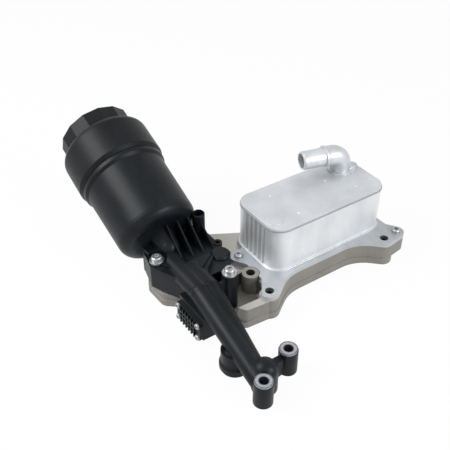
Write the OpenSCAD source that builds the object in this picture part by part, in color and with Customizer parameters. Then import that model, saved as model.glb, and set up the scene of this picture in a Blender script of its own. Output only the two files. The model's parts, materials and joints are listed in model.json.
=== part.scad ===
// Oil filter module with its plate oil cooler, for a car diesel engine.
// Millimetres. The engine face is z = 0, and the origin lies on it under the cooler's centre.
// X runs along the cooler, Y across it towards the filter cap, Z away from the engine.

/* [Cooler] */
// Length of the drawn shell, along X
cooler_l = 142; // [134:1:150]
// Width of the drawn shell, along Y
cooler_w = 69; // [64:1:74]
// Height of the lid's top above the cooler flange
cooler_h = 49; // [42:1:56]
// Radius of the shell's upright corners
cooler_corner_r = 16; // [13:0.5:18]
// Wall of the drawn shell
shell_wall = 1.6; // [1.2:0.1:2.2]
// Thickness of the lid
lid_t = 2; // [1.6:0.1:3]
// Height of the rolled beads at the shell's rim and foot
bead_h = 1.4; // [1:0.1:2]
// How far the beads stand out of the shell
bead_out = 0.7; // [0.4:0.1:1.2]
// Number of upright flutes on each short end
flute_count = 5; // [3:1:6]
// Distance between flutes
flute_pitch = 7; // [6:0.5:7.5]
// Radius of a flute's round back
flute_r = 2.2; // [1.8:0.1:2.8]
// How far a flute stands out of the shell
flute_out = 1; // [0.6:0.1:1.4]
// Number of oil cells in the stack
cell_count = 8; // [6:1:9]
// Thickness of one oil cell
cell_t = 2.2; // [1.8:0.1:2.8]
// Distance of the oil ports from the shell's ends
port_in = 21; // [19:1:25]
// Distance of the ports from the long middle line
port_y = 14; // [11:0.5:16]
// Radius of the oil ports
port_r = 7; // [5:0.5:8]
// Thickness of the fin sheet
fin_sheet_t = 0.5; // [0.3:0.1:0.8]
// Length of one fin wave
fin_pitch = 9; // [7:0.5:12]

/* [Cooler elbow] */
// Outer radius of the hose spigot
spigot_r = 9.6; // [8:0.1:10.5]
// Wall of the elbow
elbow_wall = 2.1; // [1.6:0.1:3]
// Radius of the bend's centre line
elbow_bend_r = 12; // [11.5:0.5:14]
// Height of the spigot's centre line above the lid
spigot_rise = 19; // [17:0.5:24]
// Length of the spigot past the bend
spigot_l = 33; // [28:1:38]
// Distance from the bend to the stop collar
collar_at = 6; // [4:0.5:9]
// Height of the stop collar above the spigot
collar_out = 1.7; // [1:0.1:2.5]
// Turn of the spigot from the cooler's long axis
spigot_turn = 15; // [0:1:30]
// Place of the elbow, in from the shell's right end
elbow_in = 20; // [18:0.5:23]
// Place of the elbow on the lid, along Y
elbow_y = 17; // [14:0.5:18]

/* [Cooler flange] */
// Thickness of the flange plate
flange_t = 5; // [4:0.5:7]
// Width of the flange in front of the shell
flange_front = 6; // [5:0.5:8]
// Width of the flange behind the shell
flange_back = 4; // [3:0.5:5]
// Width of the flange past the shell's right end
flange_right = 3; // [2:0.5:4]
// Radius of the lobes round the engine bolts
lobe_r = 9.6; // [8.5:0.1:11]
// Radius of the lobes round the flange screws
screw_lobe_r = 8.4; // [7.5:0.1:9]
// Radius of the sweeps that join the lobes to the long edge
sweep_r = 42; // [30:1:46]
// Radius of the engine bolt holes
bolt_hole_r = 4.4; // [4.2:0.1:4.8]
// Front left engine bolt, left of the cooler's shell
bolt_a_left = 17.6; // [16:0.2:20]
// Front left engine bolt, in front of the shell
bolt_a_front = 15.7; // [14:0.2:17]
// Front right engine bolt, in from the shell's right end
bolt_b_in = 14.8; // [13:0.2:19]
// Front right engine bolt, in front of the shell
bolt_b_front = 18.3; // [17:0.2:19]
// Engine bolt through the casting's own boss, left of the shell
bolt_c_left = 17.4; // [16:0.2:20]
// That bolt, back from the shell's front side
bolt_c_back = 15.3; // [14:0.2:17]
// Outer radius of the casting's own bolt boss
bolt_c_r = 8.6; // [8:0.1:9.2]

/* [Base casting] */
// Height of the casting under the cooler flange
base_h = 22; // [18:1:26]
// Height of the casting under the filter housing
seat_h = 14; // [11:0.5:16]
// Wall and rib thickness of the casting
cast_wall = 4.5; // [3.5:0.5:6]
// Thickness of the deck over the underside pockets
deck_t = 6; // [5:0.5:8]
// Height of the skirt round the engine face
skirt_h = 7; // [5:0.5:9]
// How far the skirt stands out
skirt_out = 0.8; // [0.4:0.1:1.2]
// Floor height of the pocket at the front left
pocket_floor = 6; // [4:0.5:9]
// Distance between the underside ribs
rib_pitch = 26; // [22:1:28]

/* [Filter cup] */
// Tilt of the filter's axis above the engine face
tilt = 21; // [18:0.5:24]
// Cup axis at its datum, left of the cooler's shell
cup_left = 73; // [71:0.5:75]
// Cup axis at its datum, along Y
cup_y = 78.7; // [77:0.1:81]
// Cup axis at its datum, above the engine face
cup_z = 58.2; // [57:0.1:60]
// Outer radius of the cup at its foot
cup_r = 42; // [41:0.2:43]
// Growth of the cup's radius over its height
cup_draft = 1.2; // [0.6:0.1:1.6]
// Wall of the cup
cup_wall = 3.6; // [3:0.1:4.4]
// Length of the cup below its datum
cup_foot = 27; // [25:0.5:28]
// Height of the cup's neck above its datum
neck_h = 95; // [92:0.5:98]
// Outer radius of the threaded neck
neck_r = 43.2; // [42.5:0.1:43.8]
// Radius of the cup's collar under the cap
collar_r = 45.4; // [44.5:0.1:46.5]
// Height of the collar's top above the datum
collar_h = 53; // [50:0.5:55]
// Height of the collar's straight band
collar_band = 4; // [3:0.5:6]

/* [Screw cap] */
// Outer radius of the cap's skirt
cap_r = 47.4; // [46.8:0.1:48.4]
// Gap between the cup's collar and the cap at rest
cap_gap = 1; // [0.6:0.1:1.6]
// Length of the bevel at the skirt's edge
cap_bevel = 4; // [3:0.5:6]
// Thickness of the cap's top
cap_top_t = 4; // [3:0.5:6]
// Radius of the shoulder between skirt and collar
cap_shoulder_r = 9; // [7:0.5:10]
// Distance across two opposite flats of the wrench collar
wrench_flats = 76; // [72:1:78]
// Number of flats on the wrench collar
flat_count = 14; // [10:2:16]
// Height of the wrench collar
wrench_h = 19; // [15:1:22]
// Wall of the wrench collar
wrench_wall = 6; // [5:0.5:9]
// Number of ribs inside the wrench collar
cap_rib_count = 6; // [4:1:8]

/* [Filter element] */
// Outer radius of the pleated paper
media_r = 32; // [30:0.5:34]
// Depth of the pleats
pleat_depth = 13; // [10:0.5:14]
// Number of pleats
pleat_count = 48; // [36:2:60]
// Thickness of the folded paper
paper_t = 0.9; // [0.6:0.1:1.2]
// Room between the element's top and the cap
head_room = 16.9; // [16:0.1:20]
// Thickness of the element's end caps
end_cap_t = 2.4; // [1.8:0.2:3.2]
// Outer radius of the element's inner cage
cage_r = 17.5; // [16.8:0.1:18]
// Wall of the element's inner cage
cage_wall = 1.5; // [1.2:0.1:2]

/* [Bypass valve] */
// Outer radius of the standpipe
pipe_r = 13; // [12:0.2:13.6]
// Wall of the standpipe
pipe_wall = 1.8; // [1.5:0.1:2.4]
// How far the standpipe reaches past the element
pipe_past = 0.9; // [0.5:0.1:4]
// Radius of the valve's seat hole
seat_hole_r = 7; // [6:0.2:8]
// Radius of the valve head
poppet_r = 9; // [8.6:0.1:9.6]
// Thickness of the valve head
poppet_t = 2; // [1.5:0.1:3]
// Radius of the valve's stem
stem_r = 2; // [1.5:0.1:2.6]
// Length of the valve's stem
stem_l = 24; // [20:1:28]
// Length of the valve's spring
spring_l = 14; // [11:0.5:18]
// Wire radius of the valve's spring
wire_r = 0.7; // [0.5:0.1:0.9]
// Number of turns of the valve's spring
spring_turns = 5; // [4:1:7]

/* [Coolant ducts] */
// Fall of the ducts towards their port
duct_fall = 11; // [9:0.5:13]
// Radius of the left duct at the body
duct_a_r = 10.2; // [9.8:0.1:11]
// Radius of the left duct at its end
duct_a_end_r = 9.6; // [9:0.1:10]
// Radius of the right duct at the body
duct_b_r = 9.4; // [8.6:0.1:10]
// Radius of the right duct at its end
duct_b_end_r = 8.2; // [7.6:0.1:8.6]
// Turn of the left duct towards +X
duct_a_turn = 3; // [0:0.5:5]
// Turn of the right duct towards +X
duct_b_turn = 7.5; // [6:0.5:8.5]
// Left duct's end, left of the cooler's shell
duct_a_left = 83.6; // [82:0.2:85]
// Right duct's end, left of the cooler's shell
duct_b_left = 80; // [78:0.2:81]
// Wall of the ducts, the port and the stub
duct_wall = 2.6; // [2:0.1:3.2]
// Radius of the port at the ducts' end
port_end_r = 11.6; // [11.2:0.1:12.2]
// Radius of the bore in that port
port_bore_r = 7; // [6.4:0.1:7.6]
// Port at the ducts' end, left of the cooler's shell
port_end_left = 75.5; // [74.5:0.5:76]
// Port at the ducts' end, along Y
port_end_y = -121.5; // [-122:0.5:-120.5]
// Height of the port's centre line of flow
port_end_z = 19; // [17:0.5:21]
// Radius of the stub that points at the engine
stub_r = 12.8; // [12:0.1:13.4]
// Stub's axis, along Y
stub_y = -89; // [-91:0.5:-87]
// How far the stub's bead stands out
stub_bead = 1.5; // [1:0.1:2]

/* [Sleeved bosses] */
// Outer radius of the plastic bosses
boss_r = 8.8; // [8.4:0.1:9.4]
// Height of the bosses' sleeves
sleeve_h = 28; // [25:1:31]
// Outer radius of the sleeves' heads
sleeve_head_r = 8.2; // [7.6:0.1:8.4]
// Thickness of the sleeves' heads
sleeve_head_t = 1.8; // [1.4:0.1:2.4]
// Outer radius of the sleeves' barrels
sleeve_r = 6; // [5.6:0.1:6.2]
// Radius of the holes through the sleeves
sleeve_hole_r = 4.2; // [4:0.1:4.4]
// First sleeve, left of the cooler's shell
sleeve_1_left = 86.5; // [86:0.5:87.5]
// First sleeve, along Y
sleeve_1_y = -134.5; // [-136:0.5:-134]
// Second sleeve, left of the cooler's shell
sleeve_2_left = 48; // [47:0.5:50]
// Second sleeve, along Y
sleeve_2_y = -118; // [-119:0.5:-116]
// Thickness of the web to the second boss
boss_web_t = 5; // [3:0.5:7]

/* [Housing foot] */
// Height of the foot's deck above the engine face
foot_h = 40; // [37:0.5:42]
// Height of the right screw post above the foot's deck
post_rise = 5.5; // [3:0.5:7]
// Height of the left screw post above the foot's deck
post_left_rise = 1; // [0.5:0.5:3]
// Radius of the screw posts
post_r = 7.6; // [7:0.1:8.2]
// Thickness of the fan ribs
fan_t = 1.6; // [1.2:0.1:2.4]
// Distance between the fan ribs
fan_pitch = 11.8; // [10:0.2:12]
// Number of fan ribs
fan_count = 4; // [3:1:4]
// Wall of the foot round its hollow
foot_wall = 7; // [5.5:0.5:8]
// Height of the rear screw post above the foot's deck
rear_rise = 27; // [20:1:30]

/* [Side cover] */
// Thickness of the cover's plate
cover_t = 2.4; // [2:0.1:3]
// Height of the cover's ribs
cover_rib_h = 2; // [1.4:0.1:2.6]
// Length of the cover
cover_l = 40; // [38:1:44]
// Height of the cover
cover_w = 21; // [19:0.5:22]
// Number of upright ribs on the cover
cover_rib_count = 6; // [4:1:8]

/* [Screws] */
// Radius of the flange screws' heads
screw_head_r = 4.4; // [4:0.1:5]
// Height of the flange screws' heads
screw_head_h = 3.4; // [2.6:0.1:4]
// Radius of the flange screws' shanks
screw_r = 2.9; // [2.5:0.1:3.1]
// Length of the flange screws' shanks
screw_l = 16; // [12:1:18]
// Radius of the housing screws' washers
washer_r = 7.2; // [6.8:0.1:7.6]
// Thickness of the housing screws' washers
washer_t = 1.6; // [1.2:0.1:2]
// Radius of the housing screws' heads
bolt_head_r = 5.2; // [4.8:0.1:5.6]
// Height of the housing screws' heads
bolt_head_h = 4.6; // [4:0.1:5.4]
// Depth of the drive recess
drive_depth = 2; // [1.4:0.1:2.4]
// Radius of the side cover's screws
cover_screw_r = 1.6; // [1.4:0.1:1.9]

/* [Clearances] */
// Gap between a screw and its clearance hole
screw_gap = 0.3; // [0.2:0.05:0.5]
// Gap between parts that turn or slide past each other
run_gap = 0.4; // [0.3:0.05:0.6]
// Thickness of the housing's gasket
gasket_t = 1; // [0.8:0.1:1.4]
// Section of the seal rings
seal_t = 2.4; // [2:0.1:3]

/* [Hidden] */

$fn = 64;
eps = 0.01;

black = [0.17, 0.175, 0.18];
bright = [0.82, 0.83, 0.84];
cast_grey = [0.6, 0.59, 0.56];
zinc = [0.72, 0.72, 0.7];
rubber = [0.08, 0.08, 0.08];
paper = [0.93, 0.86, 0.62];
green = [0.2, 0.34, 0.3];

shell_l = -cooler_l / 2;
shell_r = cooler_l / 2;
shell_f = -cooler_w / 2;
hole_a = [shell_l - bolt_a_left, shell_f - bolt_a_front];
hole_b = [shell_r - bolt_b_in, shell_f - bolt_b_front];
hole_c = [shell_l - bolt_c_left, shell_f + bolt_c_back];
cup_x = shell_l - cup_left;
duct_a_x = shell_l - duct_a_left;
duct_b_x = shell_l - duct_b_left;
port_x = shell_r - port_in;
elbow_x = shell_r - elbow_in;
screw_right = hole_b + [18, 1.4];
screw_left = hole_c + [4.3, 26.7];
flange_screws = [screw_left, screw_right];
sleeve_1 = [shell_l - sleeve_1_left, sleeve_1_y];
sleeve_2 = [shell_l - sleeve_2_left, sleeve_2_y];
port_end = [shell_l - port_end_left, port_end_y];
flange_top = base_h + flange_t;
lid_top = flange_top + cooler_h;
shell_top = lid_top - lid_t;
front_y = shell_f - flange_front;
back_y = cooler_w / 2 + flange_back;
right_x = shell_r + flange_right;
left_x = hole_c.x + 4;

// Points or corners of the filter side, given from the shell's left end
function from_shell(p) = [for (c = p) len(c) == 3 ? [c.x + shell_l, c.y, c.z] : [c.x + shell_l, c.y]];
// A vector of length one
function unit(v) = v / norm(v);
// The point of a circle at an angle
function on_circle(c, r, a) = c + r * [cos(a), sin(a)];
// Points of an arc about a centre
function arc(c, r, a0, a1, n = 10) = [for (i = [0:n]) on_circle(c, r, a0 + (a1 - a0) * i / n)];
// Points that round an open run of corners [x, y, radius] between points a and c
function rounded_run(a, p, c) =
    [for (i = [0:len(p) - 1])
        let (before = i == 0 ? a : [p[i - 1].x, p[i - 1].y],
             after = i == len(p) - 1 ? c : [p[i + 1].x, p[i + 1].y])
        each bend(before, [p[i].x, p[i].y], after, p[i][2])];
// Points that round the corner b between its neighbours a and c
function bend(a, b, c, r, n = 6) =
    let (u = unit(a - b), v = unit(c - b), half = acos(u * v) / 2,
         centre = b + unit(u + v) * r / sin(half),
         from = b + u * r / tan(half) - centre, to = b + v * r / tan(half) - centre,
         a0 = atan2(from.y, from.x), turn = (atan2(to.y, to.x) - a0 + 540) % 360 - 180)
    arc(centre, r, a0, a0 + turn, n);
// A closed outline from corners [x, y, rounding radius]
function rounded(p) =
    [for (i = [0:len(p) - 1])
        let (a = p[(i + len(p) - 1) % len(p)], b = p[i], c = p[(i + 1) % len(p)])
        each bend([a.x, a.y], [b.x, b.y], [c.x, c.y], b[2])];
// Where the tangent that leaves a circle at an angle meets the line y = level
function tangent_x(c, r, a, level) = on_circle(c, r, a).x - tan(a) * (level - on_circle(c, r, a).y);

module rounded_rect(l, w, r) {
    square([l - 2 * r, w], center = true);
    square([l, w - 2 * r], center = true);
    for (x = [-1, 1], y = [-1, 1])
        translate([x * (l / 2 - r), y * (w / 2 - r)]) circle(r);
}

// Puts its children at the cup's datum with +Z along the filter's axis and -Y facing up
module on_filter_axis() {
    translate([cup_x, cup_y, cup_z]) rotate([tilt - 90, 0, 0]) children();
}

// The front edge that the flange and the casting share, with its lobes and sweeps
function front_edge(g, a_from) = let (
        left = [tangent_x(hole_a, lobe_r + g, a_leave, front_y - g), front_y - g],
        right = [tangent_x(hole_b, lobe_r + g, b_meet, front_y - g), front_y - g])
    concat(
        arc(hole_a, lobe_r + g, a_from, a_leave),
        bend(on_circle(hole_a, lobe_r + g, a_leave), left, right, sweep_r),
        bend(left, right, on_circle(hole_b, lobe_r + g, b_meet), sweep_r));

// Cooler

// Angles at which the outlines leave or meet the lobes
a_side = 185;
a_leave = 305;
a_low = 235;
b_meet = 225;
b_leave = 275;
b_far = 340;
right_leave = 400;
left_leave = 200;
step_in = 1;
edge_in = 4;
lobe_blend = 5;
waist = 12.5;

oil_ports = [[-port_x, -port_y], [port_x, -port_y]];
coolant_port = [-port_x, port_y];
ports = concat(oil_ports, [coolant_port]);
flange_step = [shell_l - step_in, screw_left.y + screw_lobe_r];

function flange_outline() = concat(
    front_edge(0, a_side),
    arc(hole_b, lobe_r, b_meet, b_leave),
    arc(screw_right, screw_lobe_r, b_leave, right_leave),
    rounded_run(on_circle(screw_right, screw_lobe_r, right_leave), [
        [right_x, front_y + edge_in, lobe_blend],
        [right_x, back_y, cooler_corner_r],
        [flange_step.x, back_y, cooler_corner_r],
        [flange_step.x, flange_step.y, lobe_blend]
    ], on_circle(screw_left, screw_lobe_r, 90)),
    arc(screw_left, screw_lobe_r, 90, left_leave),
    rounded_run(on_circle(screw_left, screw_lobe_r, left_leave), [
        [left_x, hole_c.y + waist, lobe_blend],
        [left_x, hole_c.y - waist, lobe_blend]
    ], on_circle(hole_a, lobe_r, a_side)));

module cooler_flange() {
    color(bright) translate([0, 0, base_h]) difference() {
        linear_extrude(flange_t) polygon(flange_outline());
        for (p = [hole_a, hole_b])
            translate([p.x, p.y, -eps]) cylinder(r = bolt_hole_r, h = flange_t + 2 * eps);
        for (p = flange_screws)
            translate([p.x, p.y, -eps]) cylinder(r = screw_r + screw_gap, h = flange_t + 2 * eps);
        for (p = ports)
            translate([p.x, p.y, -eps]) cylinder(r = port_r, h = flange_t + 2 * eps);
        translate([hole_c.x, hole_c.y, -eps]) cylinder(r = bolt_c_r + run_gap, h = flange_t + 2 * eps);
    }
}

module shell_outline(g) {
    rounded_rect(cooler_l + 2 * g, cooler_w + 2 * g, cooler_corner_r + g);
}

module flutes() {
    for (side = [-1, 1], i = [0:flute_count - 1])
        translate([side * (cooler_l / 2 + flute_out - flute_r), (i - (flute_count - 1) / 2) * flute_pitch])
            circle(flute_r);
}

module cooler_shell() {
    color(bright) difference() {
        union() {
            translate([0, 0, flange_top]) linear_extrude(shell_top - flange_top) {
                shell_outline(0);
                flutes();
            }
            for (z = [flange_top, shell_top - bead_h])
                translate([0, 0, z]) linear_extrude(bead_h) shell_outline(bead_out);
        }
        translate([0, 0, flange_top - eps])
            linear_extrude(shell_top - flange_top + 2 * eps) shell_outline(-shell_wall);
    }
}

module cooler_lid() {
    color(bright) difference() {
        union() {
            translate([0, 0, shell_top]) linear_extrude(lid_t) shell_outline(0);
            translate([lid_boss.x, lid_boss.y, lid_top]) cylinder(r = lid_boss_r, h = lid_boss_h);
        }
        translate([elbow_x, elbow_y, shell_top - eps]) cylinder(r = elbow_bore_r, h = lid_t + 2 * eps);
        for (p = lid_dimples)
            translate([p.x, p.y, lid_top + dimple_r - dimple_depth]) sphere(dimple_r);
    }
}

lid_boss = [shell_l + 11.5, shell_f + 19];
lid_boss_r = 8.5;
lid_boss_h = 0.5;
dimple_r = 2.4;
dimple_depth = 0.8;
lid_dimples = [[shell_l + 31, 18], [shell_r - 48, 8], [shell_r - 29, -17], [shell_l + 37, -20]];
elbow_bore_r = spigot_r - elbow_wall;
riser_r = spigot_r + 0.9;
collar_t = 2.4;

module elbow_path(r, bend_end, low) {
    translate([0, 0, low]) cylinder(r = r, h = spigot_rise - elbow_bend_r - low);
    translate([elbow_bend_r, 0, spigot_rise - elbow_bend_r]) rotate([90, 0, 0]) rotate([0, 0, 90])
        rotate_extrude(angle = 90) translate([elbow_bend_r, 0]) circle(r);
    translate([elbow_bend_r, 0, spigot_rise]) rotate([0, 90, 0]) cylinder(r = r, h = bend_end);
}

module cooler_elbow() {
    pad_h = 1.6;
    tongue_h = 2.6;
    tongue_l = 14;
    tongue_r = 5.5;
    color(bright) translate([elbow_x, elbow_y, lid_top]) rotate([0, 0, 180 - spigot_turn]) difference() {
        union() {
            elbow_path(riser_r, collar_at - 1, 0);
            cylinder(r = riser_r + 2.6, h = pad_h);
            translate([-tongue_l, 0, 0]) cylinder(r = tongue_r, h = tongue_h);
            translate([-tongue_l, -tongue_r, 0]) cube([tongue_l, 2 * tongue_r, tongue_h]);
            translate([elbow_bend_r, 0, spigot_rise]) rotate([0, 90, 0]) {
                cylinder(r = spigot_r, h = spigot_l - 2);
                translate([0, 0, spigot_l - 2]) cylinder(r1 = spigot_r, r2 = spigot_r - 0.8, h = 2);
                translate([0, 0, collar_at - 1]) cylinder(r1 = riser_r, r2 = spigot_r + collar_out, h = 1);
                translate([0, 0, collar_at]) cylinder(r = spigot_r + collar_out, h = collar_t);
            }
        }
        elbow_path(elbow_bore_r, spigot_l + eps, -eps);
    }
}

core_gap = 1.2;
core_l = cooler_l - 2 * (shell_wall + core_gap);
core_w = cooler_w - 2 * (shell_wall + core_gap);
fin_h = (shell_top - flange_top - cell_count * cell_t) / (cell_count + 1);

module core_plates() {
    color(bright) for (i = [1:cell_count])
        translate([0, 0, flange_top + i * fin_h + (i - 1) * cell_t]) linear_extrude(cell_t) difference() {
            rounded_rect(core_l, core_w, cooler_corner_r - shell_wall - core_gap);
            for (p = oil_ports) translate(p) circle(port_r);
        }
}

fin_flat = 1.5;
fin_l = 2 * (port_x - port_r - 2);
fin_waves = floor(fin_l / fin_pitch);
// One side of the folded fin sheet, lifted by dz
function fin_side(dz) = [for (i = [0:fin_waves - 1])
    let (x = (i - fin_waves / 2) * fin_pitch)
    each [[x, dz], [x + fin_flat, dz],
          [x + fin_pitch / 2, fin_h - fin_sheet_t + dz],
          [x + fin_pitch / 2 + fin_flat, fin_h - fin_sheet_t + dz]]];
function reversed(p) = [for (i = [len(p) - 1:-1:0]) p[i]];

module core_fins() {
    color(bright) for (i = [0:cell_count])
        translate([0, core_w / 2 - 3, flange_top + i * (fin_h + cell_t)]) rotate([90, 0, 0])
            linear_extrude(core_w - 6) polygon(concat(fin_side(0), reversed(fin_side(fin_sheet_t))));
}

seal_depth = 2;

module ring(r_in, r_out, h) {
    difference() {
        cylinder(r = r_out, h = h);
        translate([0, 0, -eps]) cylinder(r = r_in, h = h + 2 * eps);
    }
}

port_seal_in = port_r + 1.4;

module cooler_seals() {
    color(rubber) for (p = ports)
        translate([p.x, p.y, base_h - seal_depth]) ring(port_seal_in, port_seal_in + seal_t, seal_depth);
}

// A pan-head screw that stands on z = 0, with a six-lobed drive
module drive_screw(head_r, head_h, shank_r, shank_l) {
    difference() {
        union() {
            translate([0, 0, -shank_l]) cylinder(r = shank_r, h = shank_l + head_h / 2);
            cylinder(r = head_r, h = head_h - 1);
            translate([0, 0, head_h - 1]) cylinder(r1 = head_r, r2 = head_r - 1, h = 1);
        }
        translate([0, 0, head_h - drive_depth]) linear_extrude(drive_depth + eps) {
            circle(head_r * 0.42);
            for (a = [0:60:359]) rotate(a) translate([head_r * 0.4, 0]) circle(head_r * 0.12);
        }
    }
}

module cooler_screws() {
    color(zinc) for (p = flange_screws)
        translate([p.x, p.y, flange_top]) drive_screw(screw_head_r, screw_head_h, screw_r, screw_l);
}

// Base casting

posts = from_shell([[-91.5, 32], [-46.5, -26], [-35, 46]]);
post_left = posts[0];
post_right = posts[1];
post_rear = posts[2];
post_tip = 1;

// Corners of the casting's filter side, and how far each moves with the outline
casting_left = [
    [-24, 64, 10, 0, 1], [-87, 60, 12, -1, 1], [-98, 40, 8, -1, 0], [-97, 14, 10, -1, -1],
    [-77, -3, 10, -1, -1],
    [-48, -56, 5, -1, -1]
];
function casting_outline(g, with_lobe = true) = concat(
    front_edge(g, a_low),
    arc(hole_b, lobe_r + g, b_meet, with_lobe ? b_leave : b_far),
    with_lobe ? arc(screw_right, screw_lobe_r + g, b_leave, right_leave) : [],
    rounded_run(
        with_lobe ? on_circle(screw_right, screw_lobe_r + g, right_leave)
                  : on_circle(hole_b, lobe_r + g, b_far),
        concat(
            [[right_x + g, front_y + edge_in, lobe_blend],
             [right_x + g, back_y + g, cooler_corner_r],
             [shell_l + port_in, back_y + g, 10]],
            from_shell([for (c = casting_left) [c.x + c[3] * g, c.y + c[4] * g, c.z]])),
        on_circle(hole_a, lobe_r + g, a_low)));

seat_edge = -24.6;
seat_zone = from_shell([
    [-130, 100], [seat_edge, 100], [seat_edge, -6], [-32, -15], [-59, -16.5], [-69, -40], [-130, -40]
]);
pocket_zone = from_shell([[-58, -47.5, 3], [-28, -49, 3], [-14.5, -42, 2], [-14.5, -8, 2], [-58, -17, 3]]);
left_zone = from_shell([[-130, -12], [-31, -12], [-31, 100], [-130, 100]]);
right_zone = [
    [left_x - 5, front_y * 3], [right_x, front_y * 3], [right_x, back_y * 3], [left_x - 5, back_y * 3]
];
thread_gap = 0.05;

// Square pockets between ribs, kept away from every bolt, screw and port
module underside_pockets(zone, depth) {
    span = 8;
    translate([0, 0, -eps]) linear_extrude(depth + eps) difference() {
        intersection() {
            polygon(casting_outline(-cast_wall, false));
            polygon(zone);
            union() for (i = [-span:span - 1], j = [-span / 2:span / 2 - 1])
                translate([(i + 0.5) * rib_pitch, (j + 0.5) * rib_pitch])
                    square(rib_pitch - cast_wall, center = true);
        }
        for (p = [hole_a, hole_b]) translate(p) circle(lobe_r);
        translate(hole_c) circle(bolt_c_r + cast_wall / 2);
        for (p = flange_screws) translate(p) circle(screw_lobe_r);
        for (p = ports) translate(p) circle(port_r + cast_wall);
        for (p = posts) translate(p) circle(post_r);
    }
}

module base_casting() {
    color(cast_grey) difference() {
        union() {
            translate([0, 0, skirt_h]) linear_extrude(base_h - skirt_h) polygon(casting_outline(0));
            linear_extrude(skirt_h) polygon(casting_outline(skirt_out, false));
            translate([hole_c.x, hole_c.y, skirt_h]) cylinder(r = bolt_c_r, h = flange_top - skirt_h);
        }
        translate([0, 0, seat_h]) linear_extrude(flange_top) polygon(seat_zone);
        translate([0, 0, pocket_floor]) linear_extrude(flange_top) difference() {
            polygon(rounded(pocket_zone));
            translate(hole_c) circle(bolt_c_r);
            translate(hole_a) circle(lobe_r);
        }
        underside_pockets(right_zone, base_h - deck_t);
        underside_pockets(left_zone, seat_h - deck_t);
        for (p = [hole_a, hole_b, hole_c])
            translate([p.x, p.y, -eps]) cylinder(r = bolt_hole_r, h = flange_top + 2 * eps);
        for (p = flange_screws)
            translate([p.x, p.y, flange_top - screw_l - 1]) cylinder(r = screw_r + thread_gap, h = screw_l + 2);
        for (p = posts)
            translate([p.x, p.y, post_tip]) cylinder(r = screw_r + thread_gap, h = flange_top);
        for (p = ports) {
            translate([p.x, p.y, -eps]) cylinder(r = port_r, h = base_h + 2 * eps);
            translate([p.x, p.y, base_h - seal_depth])
                cylinder(r = port_seal_in + seal_t + 0.1, h = seal_depth + eps);
        }
    }
}

// Filter housing

cup_bore_r = cup_r - cup_wall;
cup_floor = cup_wall - cup_foot;
cup_round = 12;
cap_seat_gap = 0.6;
foot_base = seat_h + gasket_t;
post_h = foot_h + post_rise;
post_left_h = foot_h + post_left_rise;
post_rear_h = foot_h + rear_rise;
rear_seat = foot_h + 2;
post_rear_r = 6.4;
round_boss = from_shell([[-35, 7]])[0];
round_boss_r = 10;
eye = from_shell([[-27.5, 23.5]])[0];
eye_r = 2.2;
eye_wall = 2.4;
eye_depth = 12;
foot_corners = from_shell([
    [-100.5, 29, 4], [-82.5, -12, 4], [-37, -14, 6], [-27, 6, 8], [-27, 44, 8], [-41, 57, 8], [-94, 57, 8]
]);
port_seat_r = port_bore_r + 2.6;
duct_taper = 75;
duct_b_set = 3;
duct_start = 6;
chamber_x = shell_l - 92;
chamber_depth = 13;
chamber_y = -50;
chamber_z = 3.5;
cover_wall = 3;

// A convex outline moved inwards by d
function inset(p, d) =
    [for (i = [0:len(p) - 1])
        let (a = p[(i + len(p) - 1) % len(p)], b = p[i], c = p[(i + 1) % len(p)],
             u = unit([a.x - b.x, a.y - b.y]), v = unit([c.x - b.x, c.y - b.y]),
             move = unit(u + v) * d / sin(acos(u * v) / 2))
        [b.x + move.x, b.y + move.y, max(b[2] - d, 0.5)]];

module on_duct_a(y) {
    translate([duct_a_x, port_end.y, port_end_z]) rotate([0, 0, -duct_a_turn])
        rotate([duct_fall - 90, 0, 0]) translate([0, 0, y]) children();
}

module on_duct_b(y) {
    translate([duct_b_x, port_end.y + duct_b_set, port_end_z]) rotate([0, 0, -duct_b_turn])
        rotate([duct_fall - 90, 0, 0]) translate([0, 0, y]) children();
}

// How far the ball at a bend stands out of its pipe
ball_proud = 0.3;

// A duct's level run behind its knee, along Y, with its children at the far end
module level_run(turn, r, l) {
    sphere(r + ball_proud);
    rotate([90 - duct_fall, 0, 0]) rotate([0, 0, turn]) {
        rotate([-90, 0, 0]) cylinder(r = r, h = l);
        translate([0, l, 0]) children();
    }
}

module duct(end_r, body_r, l) {
    sphere(end_r);
    cylinder(r1 = end_r, r2 = body_r, h = duct_taper);
    translate([0, 0, duct_taper]) cylinder(r = body_r, h = l - duct_taper);
}

// Where the ducts bend from their level run inside the body to their fall
knee_y = -26;
duct_a_l = (knee_y - port_end.y) / cos(duct_fall) / cos(duct_a_turn);
duct_b_l = (knee_y - port_end.y - duct_b_set) / cos(duct_fall) / cos(duct_b_turn);
run_a_l = 80;
run_b_l = 34;
bore_a_l = 42;
bore_a_r = duct_a_end_r - duct_wall;
bore_b_r = duct_b_end_r - duct_wall;
bore_b_l = 28;

// Half of the cup's section, floor and neck in one line
function cup_profile() = concat(
    [[0, -cup_foot]],
    arc([cup_r - cup_round, cup_round - cup_foot], cup_round, -90, 0, 6),
    [[cup_r + cup_draft, collar_h - collar_band - 3],
     [collar_r, collar_h - collar_band],
     [collar_r, collar_h], [neck_r, collar_h],
     [neck_r, neck_h - 1], [neck_r - 1, neck_h],
     [cup_bore_r, neck_h],
     [cup_bore_r, cup_floor], [0, cup_floor]]);

neck_l = 14;
neck_low_r = 10.6;
neck_top_r = 13;
fan_x = cup_x + 2;
fan_reach = 18;
fan_toe = 18;
shoulder_h = foot_h + 4.5;
shoulder_front = -22;
shoulder_back = 57;
shoulder_corners = from_shell([
    [-94, 26, 1], [-87.4, 14, 20], [-78.8, -22, 2], [-66, -20, 4], [-58, -7, 3], [-45, 4, 4],
    [-45.5, 10, 2],
    [-78.5, 13, 2], [-79, 57, 2], [-95, 57, 3]
]);
gusset = from_shell([[-63.5, 1.5], [-63.8, -5.5], [-45.5, 7]]);
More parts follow.
